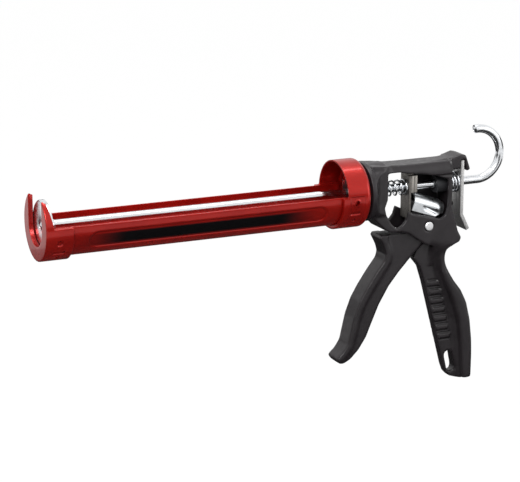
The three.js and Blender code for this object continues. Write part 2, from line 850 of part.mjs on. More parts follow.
// ---------------------------------------------------------------- grip plates and springs

function gripPlate(front, thickness, bottom) {
  const rear = front + thickness;
  const plate = box(front, rear, -PLATE_HALF_WIDTH, PLATE_HALF_WIDTH, bottom, PLATE_TOP);
  return plate.subtract(along(ROD_RADIUS + FIT, front - 1, rear + 1, SMALL_ROUND));
}

// The tall front plate, with a tab folded back over the block behind it.
function frontGripPlate() {
  const rear = PLATE_FRONT + FRONT_PLATE_THICKNESS;
  const low = PLATE_TOP + FIT;
  const high = low + TAB_THICKNESS;
  const tab = box(PLATE_FRONT, rear + TAB_LENGTH, -TAB_HALF_WIDTH, TAB_HALF_WIDTH, low, high);
  const fold = box(PLATE_FRONT, rear, -TAB_HALF_WIDTH, TAB_HALF_WIDTH, PLATE_TOP - 1, low + 1);
  return join(gripPlate(PLATE_FRONT, FRONT_PLATE_THICKNESS, FRONT_PLATE_BOTTOM), tab, fold);
}

const middlePlateFront = PLATE_FRONT + FRONT_PLATE_THICKNESS + FIT;
const rearPlateFront = middlePlateFront + PLATE_THICKNESS + FIT;
const seatFront = NECK_REAR + FIT;
const springFront = seatFront + SEAT_THICKNESS + FIT;

function mainSpring() {
  return coil(SPRING_RADIUS, SPRING_WIRE, springFront, PLATE_FRONT - FIT, SPRING_TURNS);
}

function springSeat() {
  return washer(ROD_RADIUS + FIT, SEAT_RADIUS, seatFront, seatFront + SEAT_THICKNESS, SMALL_ROUND);
}

function rodGuide() {
  const body = along(GUIDE_RADIUS, GUIDE_FRONT, WALL_FRONT - FIT, SMALL_ROUND);
  const tail = along(GUIDE_TAIL_RADIUS, GUIDE_FRONT + 1, WALL_REAR - FIT, SMALL_ROUND);
  const bore = along(ROD_RADIUS + FIT, GUIDE_FRONT - 1, WALL_REAR + 1, SMALL_ROUND);
  return join(body, tail).subtract(bore);
}

function brakeSpring() {
  return coil(BRAKE_SPRING_RADIUS, BRAKE_WIRE, WALL_REAR + FIT, LEVER_FRONT - FIT, BRAKE_TURNS);
}

// ---------------------------------------------------------------- release lever

function releaseLever() {
  const rear = LEVER_FRONT + LEVER_THICKNESS;
  const side = [
    [LEVER_FRONT, LEVER_TOP],
    [LEVER_FRONT, LEVER_BEND],
    [LEVER_FRONT + LEVER_TAIL_X - 1, LEVER_BEND - LEVER_TAIL_Z],
    [LEVER_FRONT + LEVER_TAIL_X + 2, LEVER_BEND - LEVER_TAIL_Z + 1.6],
    [rear, LEVER_BEND],
    [rear, LEVER_TOP],
  ];
  const plate = slab([...side].reverse(), -LEVER_HALF_WIDTH, LEVER_HALF_WIDTH);
  const hole = along(ROD_RADIUS + 2 * FIT, LEVER_FRONT - 1, rear + 1, SMALL_ROUND);
  return plate.subtract(hole);
}

// ---------------------------------------------------------------- assembly

const pieces = [
  piece("cradle", red, cradle()),
  piece("front_cap", red, frontCap()),
  piece("rear_collar", red, rearCollar()),
  piece("bulkhead_plate", zinc, bulkheadPlate()),
  piece("retaining_ring", steel, retainingRing()),
  piece("swivel_washer", nylon, swivelWasher()),
  piece("body_casting", black, bodyCasting()),
  piece("rod_guide_bush", nylon, rodGuide()),
  piece("spring_seat_washer", zinc, springSeat()),
  piece("main_spring", zinc, mainSpring()),
  piece("grip_plate_front", steel, frontGripPlate()),
  piece("grip_plate_middle", zinc, gripPlate(middlePlateFront, PLATE_THICKNESS, REAR_PLATE_BOTTOM)),
  piece("grip_plate_rear", zinc, gripPlate(rearPlateFront, PLATE_THICKNESS, REAR_PLATE_BOTTOM)),
  piece("trigger", black, trigger()),
  piece("trigger_pivot_pin", zinc, triggerPin()),
  piece("pusher", zinc, pusher()),
  piece("pusher_pin", zinc, pusherPin()),
  piece("push_rod", zinc, pushRod()),
  piece("plunger_disc", zinc, plungerDisc()),
  piece("plunger_nut", zinc, plungerNut()),
  piece("brake_spring", zinc, brakeSpring()),
  piece("release_lever", steel, releaseLever()),
];

const gun = new THREE.Group();
gun.name = "caulking_gun";
gun.add(...pieces);
const middle = new THREE.Box3().setFromObject(gun).getCenter(new THREE.Vector3());
for (const node of pieces) {
  node.position.sub(middle);
}

export default gun;
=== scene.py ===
"""Looks of the caulking gun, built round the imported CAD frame.

Shapes are drawn in millimetres with the rod axis along X, x = 0 at the rear face of the
holder's collar and z = 0 on the axis. ORIGIN is that point in the frame, in metres.
"""

import math

import bmesh
import bpy
import numpy as np
from mathutils import Matrix, Vector


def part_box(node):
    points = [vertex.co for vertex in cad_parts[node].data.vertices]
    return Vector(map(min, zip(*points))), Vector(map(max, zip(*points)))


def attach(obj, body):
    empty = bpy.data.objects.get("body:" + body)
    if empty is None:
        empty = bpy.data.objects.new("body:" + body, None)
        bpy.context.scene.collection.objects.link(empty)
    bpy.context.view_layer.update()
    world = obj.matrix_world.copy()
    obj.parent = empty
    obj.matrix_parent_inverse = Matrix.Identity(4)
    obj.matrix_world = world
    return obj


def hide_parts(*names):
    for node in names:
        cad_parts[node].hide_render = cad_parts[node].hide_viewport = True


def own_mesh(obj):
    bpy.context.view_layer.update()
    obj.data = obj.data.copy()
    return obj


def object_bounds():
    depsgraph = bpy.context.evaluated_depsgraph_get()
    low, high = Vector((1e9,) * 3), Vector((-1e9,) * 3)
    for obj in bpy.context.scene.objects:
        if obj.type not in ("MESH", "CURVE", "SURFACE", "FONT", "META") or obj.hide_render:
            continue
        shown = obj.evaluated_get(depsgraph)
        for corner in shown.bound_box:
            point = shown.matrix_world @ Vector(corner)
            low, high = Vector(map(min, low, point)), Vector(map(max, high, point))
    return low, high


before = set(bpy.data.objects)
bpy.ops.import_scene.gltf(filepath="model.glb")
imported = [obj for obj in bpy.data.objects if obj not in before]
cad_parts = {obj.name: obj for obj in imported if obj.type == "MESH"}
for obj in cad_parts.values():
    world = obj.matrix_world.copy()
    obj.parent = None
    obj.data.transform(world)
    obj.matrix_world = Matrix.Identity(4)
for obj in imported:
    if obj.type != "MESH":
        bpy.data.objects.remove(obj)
cad_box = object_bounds()

MM = 0.001


def middle_of(node):
    low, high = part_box(node)
    return [(low[i] + high[i]) / 2 for i in range(3)]


ORIGIN = Vector((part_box("rear_collar")[1][0], middle_of("rear_collar")[1], middle_of("rear_collar")[2]))


def span(node):
    """A CAD node's box in drawing millimetres: x low, x high, y low, y high, z low, z high."""
    low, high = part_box(node)
    return [(corner[i] - ORIGIN[i]) / MM for i in range(3) for corner in (low, high)]


# ---------------------------------------------------------------- sizes, read from the frame

FRONT_FACE = span("front_cap")[0]
CRADLE_FRONT, CRADLE_REAR = span("cradle")[:2]
CRADLE_RADIUS = span("cradle")[3]
CRADLE_RIM = span("cradle")[5]
CRADLE_WALL = 1.2
PANEL_TOP_ANGLE = 6.5  # degrees below the horizontal
PANEL_BOTTOM_ANGLE = 42
PANEL_FRONT_MARGIN = 38
PANEL_REAR_MARGIN = 40
PANEL_SINK = 1.25
STRIPE_RADIUS = 24.65  # the stripe is painted only further from the rod's axis than this
CAP_RADIUS = span("front_cap")[3]
CAP_REAR = span("front_cap")[1]
CAP_TOP = span("front_cap")[5]
CAP_WALL = 1.5
CAP_SLOT_HALF = 16.8
CAP_LIP_DEPTH = 4.2
COLLAR_FRONT = span("rear_collar")[0]
COLLAR_RADIUS = span("rear_collar")[3]
COLLAR_WALL = 1.6
COLLAR_MOUTH = -22.5
COLLAR_CORNER = 4.0
COLLAR_HOLE = (-14, -2.63, 2.4)  # x, z and radius
SPIGOT_CLEAR = 11.3
FLANGE_RADIUS = 26.2
ROD_RADIUS = span("push_rod")[3]
ROD_FRONT = span("push_rod")[0]
HOOK_RADIUS = 23.2
HOOK_REACH = 23.1
HOOK_START = 121
HOOK_SWEEP = 188
GAP = 0.3
ROD_BORE = ROD_RADIUS + GAP
MAIN_SPRING = (6.4, 0.85, 3.4)  # coil radius, wire radius and open turns
BRAKE_SPRING = (8.6, 0.9, 1.2)
TAB_LENGTH = 3  # folded tab on the front grip plate
PUSHER_TILT = math.radians(19)
PUSHER_LENGTH = 32.5
PUSHER_HEIGHT = 16
PUSHER_HALF = 9
PUSHER_WALL = 1.8
PUSHER_Z = -5
LEVER_THICKNESS = 3.4
RIB_COUNT = 7
RIB_SPACING = 8.5
TOP_RIB = (76.4, -91)  # x and z
GRIP_TILT = math.radians(13)
ACROSS = 60  # half-length of a cutter that runs right across the gun
FINE_VOXEL = 0.42

# ---------------------------------------------------------------- mesh helpers


def to_frame(points):
    """Drawing millimetres to frame metres."""
    return np.asarray(points, float) * MM + np.array(ORIGIN)


def mesh_object(name, points, faces):
    data = bpy.data.meshes.new(name)
    data.from_pydata(to_frame(points).tolist(), [], faces)
    data.update()
    obj = bpy.data.objects.new(name, data)
    bpy.context.scene.collection.objects.link(obj)
    return obj


def tidy_normals(obj):
    mesh = bmesh.new()
    mesh.from_mesh(obj.data)
    bmesh.ops.remove_doubles(mesh, verts=mesh.verts, dist=1e-6)
    bmesh.ops.recalc_face_normals(mesh, faces=mesh.faces)
    mesh.to_mesh(obj.data)
    mesh.free()


def shade(obj, sharp=40):
    obj.data.shade_smooth()
    obj.data.set_sharp_from_angle(angle=math.radians(sharp))


def get_points(obj):
    """The mesh's vertices in drawing millimetres."""
    flat = np.empty(len(obj.data.vertices) * 3)
    obj.data.vertices.foreach_get("co", flat)
    return (flat.reshape(-1, 3) - np.array(ORIGIN)) / MM


def set_points(obj, points):
    obj.data.vertices.foreach_set("co", to_frame(points).ravel())
    obj.data.update()


def grid_faces(rows, columns, wrap_rows=False, wrap_columns=False):
    faces = []
    for i in range(rows if wrap_rows else rows - 1):
        for j in range(columns if wrap_columns else columns - 1):
            k, m = (i + 1) % rows, (j + 1) % columns
            faces.append((i * columns + j, i * columns + m, k * columns + m, k * columns + j))
    return faces


def sheet_faces(rows, columns):
    """Faces of a sheet with two sides: a grid of outer points, then the same grid of inner ones."""
    outer = grid_faces(rows, columns)
    offset = rows * columns
    faces = outer + [tuple(index + offset for index in reversed(face)) for face in outer]
    border = [(i, 0) for i in range(rows)]
    border += [(rows - 1, j) for j in range(1, columns)]
    border += [(i, columns - 1) for i in range(rows - 2, -1, -1)]
    border += [(0, j) for j in range(columns - 2, 0, -1)]
    indexes = [i * columns + j for i, j in border]
    for index, here in enumerate(indexes):
        after = indexes[(index + 1) % len(indexes)]
        faces.append((here, after, after + offset, here + offset))
    return faces


def lathe(name, profile, sides=120):
    """A closed profile of (x, radius) pairs turned about the rod axis."""
    points = []
    for x, radius in profile:
        for step in range(sides):
            angle = 2 * math.pi * step / sides
            points.append((x, radius * math.cos(angle), radius * math.sin(angle)))
    obj = mesh_object(name, points, grid_faces(len(profile), sides, True, True))
    tidy_normals(obj)
    return obj


def rounded(corners, radius=0.3, steps=3):
    """A closed profile with each corner rounded off."""
    profile = []
    count = len(corners)
    for index, corner in enumerate(corners):
        here = Vector(corner)
        before = Vector(corners[index - 1]) - here
        after = Vector(corners[(index + 1) % count]) - here
        reach = min(radius, before.length / 2.2, after.length / 2.2)
        start = here + before.normalized() * reach
        end = here + after.normalized() * reach
        for step in range(steps + 1):
            t = step / steps
            point = start * (1 - t) ** 2 + here * (2 * t * (1 - t)) + end * t**2
            profile.append((point.x, point.y))
    return profile


def tube(name, path, radius, sides=24, cap_round=0.0):
    """A round section swept along a path that lies in, or winds about, the gun's middle plane."""
    path = [Vector(point) for point in path]
    points = []
    side = Vector((0, 1, 0))
    count = len(path)
    for index, here in enumerate(path):
        ahead = path[min(index + 1, count - 1)] - path[max(index - 1, 0)]
        ahead.normalize()
        side = (side - ahead * side.dot(ahead)).normalized()
        up = ahead.cross(side)
        for step in range(sides):
            angle = 2 * math.pi * step / sides
            points.append(here + (side * math.cos(angle) + up * math.sin(angle)) * radius)
    faces = grid_faces(count, sides, False, True)
    rows = []
    for end, direction in ((0, -1), (count - 1, 1)):
        ahead = (path[end] - path[end - direction]).normalized()
        last = end * sides
        for ring in range(1, 4):
            angle = ring * math.pi / 8
            shrink = 1 - (1 - math.cos(angle)) * (cap_round / radius)
            start = len(points)
            for step in range(sides):
                offset = points[end * sides + step] - path[end]
                shift = ahead * (math.sin(angle) * cap_round - cap_round)
                points.append(path[end] + offset * shrink + shift)
            rows.append((last, start))
            last = start
        faces.append(tuple(range(last, last + sides)))
    for a, b in rows:
        for step in range(sides):
            after = (step + 1) % sides
            faces.append((a + step, a + after, b + after, b + step))
    obj = mesh_object(name, points, faces)
    tidy_normals(obj)
    return obj


def extruded(name, near, far):
    """A closed solid between two matching outlines."""
    count = len(near)
    faces = [tuple(range(count)), tuple(range(2 * count - 1, count - 1, -1))]
    for index in range(count):
        after = (index + 1) % count
        faces.append((index, after, count + after, count + index))
    obj = mesh_object(name, near + far, faces)
    tidy_normals(obj)
    return obj


def prism(name, outline, low, high):
    """An XZ outline extruded across the gun from y = low to y = high."""
    return extruded(name, [(x, low, z) for x, z in outline], [(x, high, z) for x, z in outline])


def yz_prism(name, outline, low, high):
    """A YZ outline extruded from x = low to x = high."""
    return extruded(name, [(low, y, z) for y, z in outline], [(high, y, z) for y, z in outline])


def evaluated(obj):
    """Applies every modifier on obj."""
    bpy.context.view_layer.update()
    graph = bpy.context.evaluated_depsgraph_get()
    data = bpy.data.meshes.new_from_object(obj.evaluated_get(graph))
    obj.modifiers.clear()
    obj.data = data
    return obj


def merged(objects):
    """One object of all these meshes, overlapping as they are."""
    mesh = bmesh.new()
    for other in objects:
        mesh.from_mesh(other.data)
    first = objects[0]
    mesh.to_mesh(first.data)
    mesh.free()
    for other in objects[1:]:
        bpy.data.objects.remove(other)
    return first


def remesh(obj, voxel):
    modifier = obj.modifiers.new("remesh", "REMESH")
    modifier.mode = "VOXEL"
    modifier.voxel_size = voxel * MM
    return evaluated(obj)


def cut(obj, *tools):
    """Takes each tool away from obj, and deletes the tool."""
    for tool in tools:
        modifier = obj.modifiers.new("cut", "BOOLEAN")
        modifier.operation = "DIFFERENCE"
        modifier.object = tool
        modifier.solver = "EXACT"
        evaluated(obj)
        bpy.data.objects.remove(tool)
    return obj


def intersect(obj, tool):
    """Keeps what lies inside tool."""
    modifier = obj.modifiers.new("keep", "BOOLEAN")
    modifier.operation = "INTERSECT"
    modifier.object = tool
    modifier.solver = "EXACT"
    evaluated(obj)
    bpy.data.objects.remove(tool)
    return obj


def bevel(obj, width, segments=3, angle=35):
    modifier = obj.modifiers.new("bevel", "BEVEL")
    modifier.width = width * MM
    modifier.segments = segments
    modifier.limit_method = "ANGLE"
    modifier.angle_limit = math.radians(angle)
    return evaluated(obj)


def relax(obj, rounds, weight=1.0):
    """Evens out the mesh: weight is one number, or one for each vertex."""
    data = obj.data
    points = get_points(obj)
    count = len(points)
    ends = np.empty(len(data.edges) * 2, np.int64)
    data.edges.foreach_get("vertices", ends)
    a, b = ends.reshape(-1, 2).T
    degree = np.bincount(a, minlength=count) + np.bincount(b, minlength=count)
    share = (np.ones(count) * weight * 0.5)[:, None]
    for _ in range(rounds):
        total = np.stack(
            [
                np.bincount(a, points[b, k], count) + np.bincount(b, points[a, k], count)
                for k in range(3)
            ],
            axis=1,
        )
        points += (total / degree[:, None] - points) * share
    set_points(obj, points)


def cad_copy(node, name):
    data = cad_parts[node].data.copy()
    data.materials.clear()
    obj = bpy.data.objects.new(name, data)
    bpy.context.scene.collection.objects.link(obj)
    tidy_normals(obj)
    return obj


def ramp(value, low, high):
    """0 below low, 1 above high, and a smooth step between."""
    t = np.clip((value - low) / (high - low), 0, 1)
    return t * t * (3 - 2 * t)


def band(value, low, high, soft):
    return ramp(value, low - soft, low + soft) * (1 - ramp(value, high - soft, high + soft))


def slot_distance(u, v, half_span, radius):
    """How far outside a slot outline with round ends a point lies."""
    past = np.maximum(np.abs(u) - half_span, 0)
    return np.hypot(past, v) - radius


def finish_piece(obj, body, material, nodes, sharp=40):
    shade(obj, sharp)
    obj.data.materials.clear()
    obj.data.materials.append(material)
    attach(obj, body)
    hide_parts(*nodes)


# ---------------------------------------------------------------- materials


class Surface:
    """A principled material whose texture nodes are placed by position on the object."""

    def __init__(self, name, color, roughness, metallic):
        self.material = bpy.data.materials.new(name)
        self.material.use_nodes = True
        self.tree = self.material.node_tree
        self.shader = self.tree.nodes["Principled BSDF"]
        self.place = self.tree.nodes.new("ShaderNodeTexCoord").outputs["Object"]
        self.put("Base Color", (*color, 1))
        self.put("Roughness", roughness)
        self.put("Metallic", metallic)

    def put(self, socket, value):
        self.shader.inputs[socket].default_value = value

    def link(self, output, target):
        self.tree.links.new(output, target)

    def noise(self, scale, detail=3.0, rough=0.5, stretch=None):
        node = self.tree.nodes.new("ShaderNodeTexNoise")
        node.inputs["Scale"].default_value = scale
        node.inputs["Detail"].default_value = detail
        node.inputs["Roughness"].default_value = rough
        source = self.place
        if stretch:
            mapping = self.tree.nodes.new("ShaderNodeMapping")
            mapping.inputs["Scale"].default_value = stretch
            self.link(source, mapping.inputs["Vector"])
            source = mapping.outputs["Vector"]
        self.link(source, node.inputs["Vector"])
        return node.outputs["Fac"]

    def spread(self, value, low, high, to_low=0.0, to_high=1.0):
        node = self.tree.nodes.new("ShaderNodeMapRange")
        node.interpolation_type = "SMOOTHSTEP"
        node.inputs["From Min"].default_value = low
        node.inputs["From Max"].default_value = high
        node.inputs["To Min"].default_value = to_low
        node.inputs["To Max"].default_value = to_high
        self.link(value, node.inputs["Value"])
        return node.outputs["Result"]

    def product(self, first, second):
        node = self.tree.nodes.new("ShaderNodeMath")
        node.operation = "MULTIPLY"
        self.link(first, node.inputs[0])
        self.link(second, node.inputs[1])
        return node.outputs["Value"]

    def blend(self, share, first, second):
        """A colour between first and second; either may be a colour or another node's output."""
        node = self.tree.nodes.new("ShaderNodeMix")
        node.data_type = "RGBA"
        self.link(share, node.inputs["Factor"])
        for key, color in ((6, first), (7, second)):
            if isinstance(color, tuple):
                node.inputs[key].default_value = (*color, 1)
            else:
                self.link(color, node.inputs[key])
        return node.outputs[2]

    def from_axis(self):
        """Distance from the rod's axis."""
        flat = self.tree.nodes.new("ShaderNodeVectorMath")
        flat.operation = "MULTIPLY_ADD"
        flat.inputs[1].default_value = (0, 1, 1)
        flat.inputs[2].default_value = (0, -ORIGIN[1], -ORIGIN[2])
        self.link(self.place, flat.inputs[0])
        length = self.tree.nodes.new("ShaderNodeVectorMath")
        length.operation = "LENGTH"
        self.link(flat.outputs["Vector"], length.inputs[0])
        return length.outputs["Value"]

    def edges(self, low, high):
        """0 in hollows and 1 on ridges."""
        node = self.tree.nodes.new("ShaderNodeNewGeometry")
        return self.spread(node.outputs["Pointiness"], low, high)

    def bump(self, height, strength, distance, below=None):
        node = self.tree.nodes.new("ShaderNodeBump")
        node.inputs["Strength"].default_value = strength
        node.inputs["Distance"].default_value = distance
        self.link(height, node.inputs["Height"])
        if below:
            self.link(below, node.inputs["Normal"])
        return node.outputs["Normal"]

    def color(self, output):
        self.link(output, self.shader.inputs["Base Color"])

    def rough(self, output):
        self.link(output, self.shader.inputs["Roughness"])

    def normal(self, output):
        self.link(output, self.shader.inputs["Normal"])


RED = (0.37, 0.008, 0.004)
DEEP_RED = (0.30, 0.005, 0.003)
FLAKE_RED = (0.44, 0.014, 0.009)
# painted shade for the hollows of the red paint
SHADED_RED = (0.10, 0.001, 0.002)
STRIPE = (0.006, 0.005, 0.006)


def red_paint(name, stripe=False):
    """Candy red over metal: flakes under a clear coat, with a faint orange peel, and painted shade in its
    hollows.
    """
    surface = Surface(name, RED, 0.3, 0.55)
    surface.put("Specular IOR Level", 0.3)
    surface.put("Coat Weight", 0.3)
    surface.put("Coat Roughness", 0.05)
    color = surface.blend(surface.spread(surface.noise(30, 2), 0.35, 0.7), RED, DEEP_RED)
    flakes = surface.spread(surface.noise(3200, 1), 0.55, 0.8)
    color = surface.blend(flakes, color, FLAKE_RED)
    # painted shade: hollows found by pointiness are darkened to SHADED_RED
    color = surface.blend(surface.edges(0.44, 0.492), SHADED_RED, color)
    if stripe:
        color = surface.blend(stripe_mask(surface), color, STRIPE)
    surface.color(color)
    surface.rough(surface.spread(surface.noise(90, 2), 0.2, 0.8, 0.27, 0.33))
    peel = surface.bump(surface.noise(220, 1), 0.05, 0.0003)
    surface.normal(surface.bump(surface.noise(1800, 2), 0.03, 0.0001, peel))
    return surface.material


def stripe_mask(surface):
    """Where the airbrushed dark stripe lies along the pressed panel, fading out at both ends."""
    parts = surface.tree.nodes.new("ShaderNodeSeparateXYZ")
    surface.link(surface.place, parts.inputs["Vector"])
    x, z = parts.outputs["X"], parts.outputs["Z"]

    def at(mm, axis):
        return mm * MM + ORIGIN[axis]

    front = surface.spread(x, at(-274, 0), at(-222, 0))
    rear = surface.spread(x, at(-84, 0), at(-42, 0), 1, 0)
    above = surface.spread(z, at(-4.6, 2), at(-6.6, 2))
    below = surface.spread(z, at(-17.6, 2), at(-14.6, 2))
    edge, soft = STRIPE_RADIUS * MM, 0.15 * MM
    outer = surface.spread(surface.from_axis(), edge - soft, edge + soft)
    sides = surface.product(surface.product(above, below), outer)
    return surface.product(surface.product(front, rear), sides)


def black_coat(name):
    """Satin powder coat over a casting, with painted shade in its hollows."""
    surface = Surface(name, (0.016, 0.014, 0.0155), 0.36, 0.0)
    surface.put("Specular IOR Level", 0.40)
    cloud = surface.spread(surface.noise(60, 4), 0.3, 0.7)
    color = surface.blend(cloud, (0.0120, 0.0094, 0.0110), (0.0170, 0.0138, 0.0158))
    # painted shade: hollows found by pointiness are darkened to near black
    surface.color(surface.blend(surface.edges(0.44, 0.505), (0.001, 0.001, 0.001), color))
    surface.rough(surface.spread(surface.noise(220, 4), 0.25, 0.75, 0.30, 0.42))
    skin = surface.bump(surface.noise(320, 3), 0.22, 0.0004)
    surface.normal(surface.bump(surface.noise(1500, 2), 0.12, 0.0001, skin))
    return surface.material


def zinc_plate(name, color=(0.74, 0.76, 0.79), roughness=(0.16, 0.3)):
    """Bright zinc plate, a little cloudy."""
    surface = Surface(name, color, roughness[0], 1.0)
    dull = tuple(channel * 0.8 for channel in color)
    surface.color(surface.blend(surface.spread(surface.noise(130, 4), 0.4, 0.75), color, dull))
    surface.rough(surface.spread(surface.noise(240, 4), 0.25, 0.75, *roughness))
    surface.normal(surface.bump(surface.noise(420, 3), 0.06, 0.0002))
    return surface.material


def drawn_steel(name):
    """Polished drawn rod: faint lines along its length."""
    surface = Surface(name, (0.80, 0.81, 0.83), 0.16, 1.0)
    lines = surface.noise(900, 3, 0.6, (0.02, 1, 1))
    share = surface.spread(lines, 0.3, 0.75)
    surface.color(surface.blend(share, (0.84, 0.85, 0.87), (0.66, 0.68, 0.70)))
    surface.rough(surface.spread(surface.noise(90, 4), 0.3, 0.75, 0.12, 0.24))
    surface.normal(surface.bump(lines, 0.05, 0.0001))
    return surface.material


def raw_steel(name, light, dark, speck=1300):
    """Tumbled steel with a fine speckle."""
    surface = Surface(name, light, 0.42, 0.9)
    specks = surface.spread(surface.noise(speck, 4, 0.7), 0.38, 0.62)
    stains = surface.spread(surface.noise(150, 4), 0.35, 0.7)
    color = surface.blend(specks, dark, light)
    surface.color(surface.blend(stains, color, tuple(channel * 0.72 for channel in light)))
    surface.rough(surface.spread(surface.noise(500, 3), 0.3, 0.7, 0.34, 0.55))
    surface.normal(surface.bump(surface.noise(speck, 3), 0.25, 0.0002))
    return surface.material


def nylon(name):
    surface = Surface(name, (0.016, 0.016, 0.018), 0.55, 0.0)
    surface.rough(surface.spread(surface.noise(300, 3), 0.3, 0.7, 0.45, 0.62))
    cloud = surface.noise(120, 3)
    surface.color(surface.blend(cloud, (0.012, 0.012, 0.014), (0.024, 0.024, 0.027)))
    surface.normal(surface.bump(surface.noise(900, 2), 0.1, 0.0001))
    return surface.material


red = red_paint("red_paint")
striped = red_paint("red_paint_striped", stripe=True)
black = black_coat("black_coat")
zinc = zinc_plate("zinc_plate")
bright = zinc_plate("bright_plate", (0.66, 0.68, 0.70), (0.26, 0.36))
pin_plate = zinc_plate("pin_plate", (0.90, 0.90, 0.91), (0.30, 0.42))
rod_steel = drawn_steel("rod_steel")
block_steel = raw_steel("block_steel", (0.52, 0.49, 0.45), (0.33, 0.31, 0.285), 1800)
grey_steel = raw_steel("raw_steel", (0.22, 0.205, 0.19), (0.09, 0.083, 0.077))
lever_steel = raw_steel("lever_steel", (0.66, 0.655, 0.65), (0.36, 0.355, 0.35))
black_nylon = nylon("black_nylon")

# ---------------------------------------------------------------- cartridge holder


def cradle():
    """Half tube of sheet with a pressed panel along each side."""
    wall = CRADLE_WALL
    rim = math.asin(CRADLE_RIM / CRADLE_RADIUS)
    top, bottom = math.radians(PANEL_TOP_ANGLE), math.radians(PANEL_BOTTOM_ANGLE)
    panel_radius = CRADLE_RADIUS * (bottom - top) / 2
    panel_angle = (top + bottom) / 2
    panel_front, panel_rear = FRONT_FACE + PANEL_FRONT_MARGIN, -PANEL_REAR_MARGIN
    half_span = (panel_rear - panel_front) / 2 - panel_radius
    middle = (panel_front + panel_rear) / 2
    lengths = np.linspace(CRADLE_FRONT, CRADLE_REAR, 290)
    turns = np.linspace(-rim, math.pi + rim, 150)
    x, turn = np.meshgrid(lengths, turns, indexing="ij")
    side_angle = np.minimum(np.abs(turn), np.abs(math.pi - turn))
    around = (side_angle - panel_angle) * CRADLE_RADIUS
    outside = slot_distance(x - middle, around, half_span, panel_radius)
    sunk = 1 - ramp(outside, -1.0, 0.3)
    radius = CRADLE_RADIUS - PANEL_SINK * sunk
    layers = []
    for inset in (0, wall):
        layers.append(
            np.stack([x, (radius - inset) * np.cos(turn), -(radius - inset) * np.sin(turn)], axis=-1)
        )
    rows, columns = x.shape
    points = np.concatenate([layer.reshape(-1, 3) for layer in layers])
    obj = mesh_object("cradle_sheet", points, sheet_faces(rows, columns))
    tidy_normals(obj)
    bevel(obj, 0.38, 3, 60)
    finish_piece(obj, "holder", striped, ["cradle"], 50)


def drill(x, z, radius, sides=48):
    """A round cutter right across the gun."""
    outline = [
        (x + radius * math.cos(2 * math.pi * i / sides), z + radius * math.sin(2 * math.pi * i / sides))
        for i in range(sides)
    ]
    return prism("drill", outline, -ACROSS, ACROSS)


def half_ring(name, inner, outer, low, high, rim, sides=160):
    """A trough of the holder's section between two X positions, open above z = rim."""
    start = math.asin(rim / outer)
    points = []
    turns = np.linspace(-start, math.pi + start, sides)
    for turn in turns:
        for x, radius in ((low, inner), (low, outer), (high, outer), (high, inner)):
            points.append((x, radius * math.cos(turn), -radius * math.sin(turn)))
    count = len(turns)
    faces = grid_faces(count, 4, False, True)
    faces += [(3, 2, 1, 0), tuple(4 * (count - 1) + k for k in range(4))]
    obj = mesh_object(name, points, faces)
    tidy_normals(obj)
    return obj


def snap_round(points, radius, reach, low_x, high_x):
    """Pulls points that lie near a cylinder about the rod axis onto it."""
    distance = np.hypot(points[:, 1], points[:, 2])
    near = (np.abs(distance - radius) < reach) & (points[:, 0] > low_x) & (points[:, 0] < high_x)
    scale = np.where(near, radius / np.maximum(distance, 1e-6), 1)
    points[:, 1] *= scale
    points[:, 2] *= scale


def stamp(points, x, z, half_span, radius, depth, soft):
    """Presses a round or slot-shaped mark into both flanks; a negative depth raises it."""
    outside = slot_distance(points[:, 0] - x, points[:, 2] - z, half_span, radius)
    amount = depth * (1 - ramp(outside, -soft, soft))
    distance = np.hypot(points[:, 1], points[:, 2])
    scale = 1 - amount / np.maximum(distance, 1)
    points[:, 1] *= scale
    points[:, 2] *= scale


def press_panel(points, low_x, high_x, low_z, high_z, depth):
    """Sinks a shallow rectangle into both flanks."""
    amount = depth * band(points[:, 0], low_x, high_x, 0.5) * band(points[:, 2], low_z, high_z, 0.5)
    distance = np.hypot(points[:, 1], points[:, 2])
    amount *= distance > COLLAR_RADIUS - COLLAR_WALL - 0.4
    scale = 1 - amount / np.maximum(distance, 1)
    points[:, 1] *= scale
    points[:, 2] *= scale


def rear_collar():
    """Drawn cup that hugs the cradle, with a hole, a pill and a dimple pressed in each flank."""
    inner = COLLAR_RADIUS - COLLAR_WALL
    corner = COLLAR_CORNER
    arc = [
        (-corner + corner * math.sin(a), COLLAR_RADIUS - corner + corner * math.cos(a))
        for a in np.linspace(0, math.pi / 2, 9)
    ]
    inside = corner - COLLAR_WALL
    inner_arc = [
        (-corner + inside * math.sin(a), inner - inside + inside * math.cos(a))
        for a in np.linspace(math.pi / 2, 0, 7)
    ]
    profile = [(COLLAR_MOUTH, inner), (COLLAR_MOUTH, COLLAR_RADIUS), *arc]
    profile += [(0, SPIGOT_CLEAR), (-COLLAR_WALL, SPIGOT_CLEAR), *inner_arc]
    cup = lathe("rear_collar_sheet", profile, 200)
    hug = half_ring("hug", CRADLE_RADIUS + GAP, COLLAR_RADIUS, COLLAR_FRONT, -corner, CRADLE_RIM)
    obj = remesh(merged([cup, hug]), FINE_VOXEL)
    relax(obj, 4)
    points = get_points(obj)
    snap_round(points, COLLAR_RADIUS, 0.25, COLLAR_FRONT + 0.6, -corner)
    snap_round(points, inner, 0.25, COLLAR_MOUTH + 0.6, -corner)
    snap_round(points, CRADLE_RADIUS + GAP, 0.25, COLLAR_FRONT + 0.6, -corner - 0.4)
    press_panel(points, -20.5, -6.2, -23.5, 3.5, 0.55)
    stamp(points, -14, -2.6, 0, 3.6, -0.5, 0.35)
    stamp(points, -14.6, -12.2, 3.2, 1.4, 1.1, 0.5)
    stamp(points, -14.2, -19.0, 0, 1.7, 1.1, 0.5)
    set_points(obj, points)
    cut(obj, drill(*COLLAR_HOLE))
    finish_piece(obj, "holder", red, ["rear_collar"], 46)


def lower_half(radius, steps=60):
    """YZ points round the lower half of a circle about the rod's axis."""
    angles = np.linspace(math.pi, 2 * math.pi, steps)
    return [(radius * math.cos(a), radius * math.sin(a)) for a in angles]


